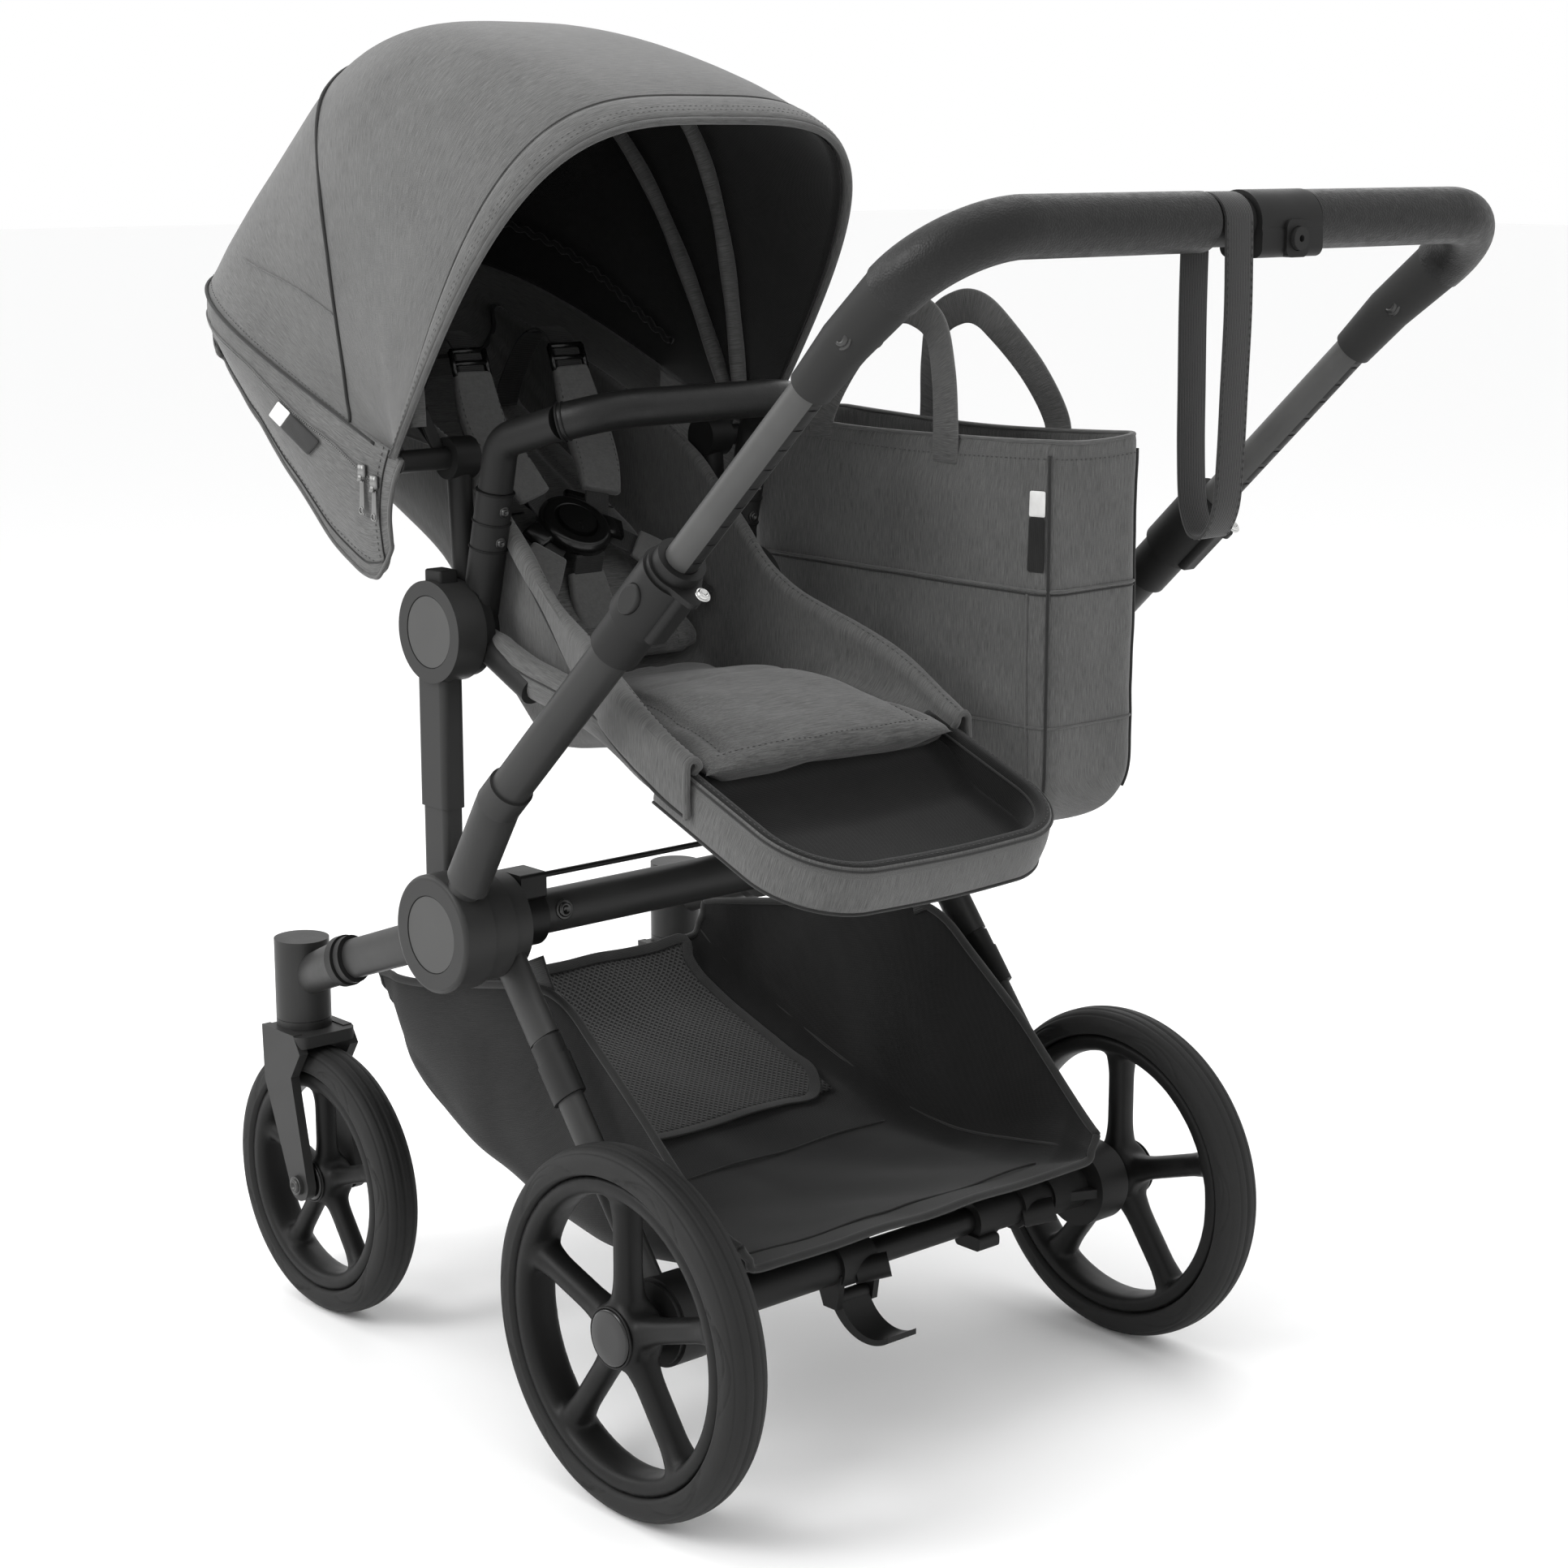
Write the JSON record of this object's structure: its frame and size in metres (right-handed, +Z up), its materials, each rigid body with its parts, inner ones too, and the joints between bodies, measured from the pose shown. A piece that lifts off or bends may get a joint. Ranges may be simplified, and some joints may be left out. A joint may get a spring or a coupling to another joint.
{
  "type": "baby stroller",
  "caption": "Folding baby stroller: telescoping handle, reclining seat with canopy, swivel front casters, large rear wheels, basket and side bag.",
  "frame": {"origin": "on the ground, under the middle of the bounding box", "axes": "+X to the pusher's right, +Y towards the small swivelling wheels, +Z up"},
  "size_m": [0.636, 1.0204, 1.1537],
  "materials": {
    "frame_grey": "satin dark grey coating",
    "tube_light": "satin grey anodised",
    "tube_black": "satin black coating",
    "disc_grey": "fine satin",
    "plastic_dark": "fine matte grain",
    "plastic_gloss": "glossy",
    "steel": "dark satin",
    "leather_black": "fine grain",
    "tyre_black": "matte",
    "fabric_grey": "melange weave",
    "fabric_black": "plain weave",
    "webbing": "ribbed webbing"
  },
  "bodies": {
    "chassis": {"hub_cores": "plastic_dark", "cross_tube": "tube_black", "release_rod": "plastic_dark", "front_tubes": "frame_grey", "clamp_rings": "plastic_dark", "caster_sockets": "plastic_dark", "seat_posts": "frame_grey", "seat_hubs": "plastic_dark", "seat_hub_discs": "disc_grey", "basket": "fabric_black", "bag_rest": "plastic_dark"},
    "rear_frame": {"rear_legs": "frame_grey", "leg_collars": "plastic_dark", "wheel_drums": "plastic_dark", "axle_sleeves": "tube_black", "axle_tube": "tube_black", "axle_clamps": "plastic_dark"},
    "handle_arms": {"arm_castings": "frame_grey", "hub_discs": "disc_grey", "arm_tubes": "frame_grey", "arm_collars": "frame_grey"},
    "handlebar": {"upper_tubes": "tube_light", "handle_racks": "plastic_dark", "elbows": "plastic_dark", "grips": "leather_black", "crossbar": "tube_black", "handle_clamp": "plastic_dark"},
    "strap": {"wrist_strap": "webbing"},
    "clamp_push": {"clamp_button": "plastic_dark"},
    "collar_push_left": {"collar_button_left": "plastic_dark"},
    "collar_push_right": {"collar_button_right": "plastic_dark"},
    "lock_left": {"swivel_lock_left": "plastic_dark"},
    "lock_right": {"swivel_lock_right": "plastic_dark"},
    "caster_left": {"fork_left": "plastic_dark"},
    "caster_right": {"fork_right": "plastic_dark"},
    "front_wheel_left": {"front_tyre_left": "tyre_black", "front_rim_left": "plastic_dark"},
    "front_wheel_right": {"front_tyre_right": "tyre_black", "front_rim_right": "plastic_dark"},
    "rear_wheel_left": {"rear_tyre_left": "tyre_black", "rear_rim_left": "plastic_dark"},
    "rear_wheel_right": {"rear_tyre_right": "tyre_black", "rear_rim_right": "plastic_dark"},
    "brake": {"brake_pedal": "plastic_dark"},
    "seat": {"seat_adapters": "plastic_dark", "seat_shell": "fabric_grey", "seat_pads": "fabric_grey", "footrest_hoop": "fabric_grey", "footrest_tray": "fabric_black", "harness": "webbing", "buckle": "plastic_gloss", "canopy_shell": "fabric_grey"},
    "front_bow": {"canopy_bow": "tube_black"},
    "buckle_push": {"buckle_button": "plastic_gloss"},
    "bumper": {"bumper_bar": "plastic_dark", "bumper_grip": "leather_black"},
    "recline_push_left": {"recline_tab_left": "plastic_dark"},
    "recline_push_right": {"recline_tab_right": "plastic_dark"},
    "bag": {"bag_body": "fabric_grey", "bag_handles": "fabric_grey"}
  },
  "joints": [
    {"name": "rear_frame_fold", "type": "hinge", "parent": "chassis", "child": "rear_frame", "pos_m": [0, 0.08725, 0.43], "axis": [1, 0, 0], "range_deg": [0, 40]},
    {"name": "handle_fold", "type": "hinge", "parent": "chassis", "child": "handle_arms", "pos_m": [0, 0.08725, 0.43], "axis": [1, 0, 0], "range_deg": [0, 58.5]},
    {"name": "handle_height", "type": "slide", "parent": "handle_arms", "child": "handlebar", "axis": [0, -0.723, 0.6909], "range_m": [-0.1, 0.03]},
    {"name": "strap_swing", "type": "hinge", "parent": "handlebar", "child": "strap", "pos_m": [-0.035, -0.48175, 1.003], "axis": [1, 0, 0], "range_deg": [-60, 60]},
    {"name": "clamp_press", "type": "slide", "parent": "handlebar", "child": "clamp_push", "axis": [0, 1, 0], "range_m": [0, 0.002], "stiffness_N_per_m": 400, "springref_m": -0.0005},
    {"name": "collar_press_left", "type": "slide", "parent": "handle_arms", "child": "collar_push_left", "axis": [1, 0, 0], "range_m": [0, 0.003], "stiffness_N_per_m": 400, "springref_m": -0.0005},
    {"name": "collar_press_right", "type": "slide", "parent": "handle_arms", "child": "collar_push_right", "axis": [-1, 0, 0], "range_m": [0, 0.003], "stiffness_N_per_m": 400, "springref_m": -0.0005},
    {"name": "swivel_lock_turn_left", "type": "hinge", "parent": "chassis", "child": "lock_left", "pos_m": [-0.221, 0.44125, 0.306], "axis": [0, 1, 0], "range_deg": [0, 45]},
    {"name": "swivel_lock_turn_right", "type": "hinge", "parent": "chassis", "child": "lock_right", "pos_m": [0.221, 0.44125, 0.306], "axis": [0, -1, 0], "range_deg": [0, 45]},
    {"name": "caster_swivel_left", "type": "hinge", "parent": "chassis", "child": "caster_left", "pos_m": [-0.221, 0.41625, 0.28], "axis": [0, 0, 1], "continuous": true},
    {"name": "caster_swivel_right", "type": "hinge", "parent": "chassis", "child": "caster_right", "pos_m": [0.221, 0.41625, 0.28], "axis": [0, 0, 1], "continuous": true},
    {"name": "front_wheel_spin_left", "type": "hinge", "parent": "caster_left", "child": "front_wheel_left", "pos_m": [-0.221, 0.38525, 0.125], "axis": [1, 0, 0], "continuous": true},
    {"name": "front_wheel_spin_right", "type": "hinge", "parent": "caster_right", "child": "front_wheel_right", "pos_m": [0.221, 0.38525, 0.125], "axis": [1, 0, 0], "continuous": true},
    {"name": "rear_wheel_spin_left", "type": "hinge", "parent": "rear_frame", "child": "rear_wheel_left", "pos_m": [-0.283, -0.13175, 0.15], "axis": [1, 0, 0], "continuous": true},
    {"name": "rear_wheel_spin_right", "type": "hinge", "parent": "rear_frame", "child": "rear_wheel_right", "pos_m": [0.283, -0.13175, 0.15], "axis": [1, 0, 0], "continuous": true},
    {"name": "brake_press", "type": "hinge", "parent": "rear_frame", "child": "brake", "pos_m": [-0.051, -0.13575, 0.121], "axis": [1, 0, 0], "range_deg": [0, 18]},
    {"name": "seat_recline", "type": "hinge", "parent": "chassis", "child": "seat", "pos_m": [-0.1065, 0.12025, 0.67], "axis": [1, 0, 0], "range_deg": [-25, 25]},
    {"name": "front_bow_fold", "type": "hinge", "parent": "seat", "child": "front_bow", "pos_m": [-0.1065, 0.13025, 0.807], "axis": [1, 0, 0], "range_deg": [-56, 0]},
    {"name": "buckle_press", "type": "slide", "parent": "seat", "child": "buckle_push", "axis": [0, 0.6198, -0.7848], "range_m": [0, 0.002], "stiffness_N_per_m": 300, "springref_m": -0.0005},
    {"name": "bumper_release", "type": "slide", "parent": "seat", "child": "bumper", "axis": [0, -0.2312, 0.9729], "range_m": [0, 0.03]},
    {"name": "recline_press_left", "type": "slide", "parent": "chassis", "child": "recline_push_left", "axis": [0, 0, -1], "range_m": [0, 0.004], "stiffness_N_per_m": 400, "springref_m": -0.0006},
    {"name": "recline_press_right", "type": "slide", "parent": "chassis", "child": "recline_push_right", "axis": [0, 0, -1], "range_m": [0, 0.004], "stiffness_N_per_m": 400, "springref_m": -0.0006},
    {"name": "bag_lift", "type": "slide", "parent": "chassis", "child": "bag", "axis": [0, 0, 1], "range_m": [0, 0.12]}
  ],
  "couplings": [
    {"joint": "handle_fold", "follows": "rear_frame_fold", "ratio": 1.45}
  ]
}
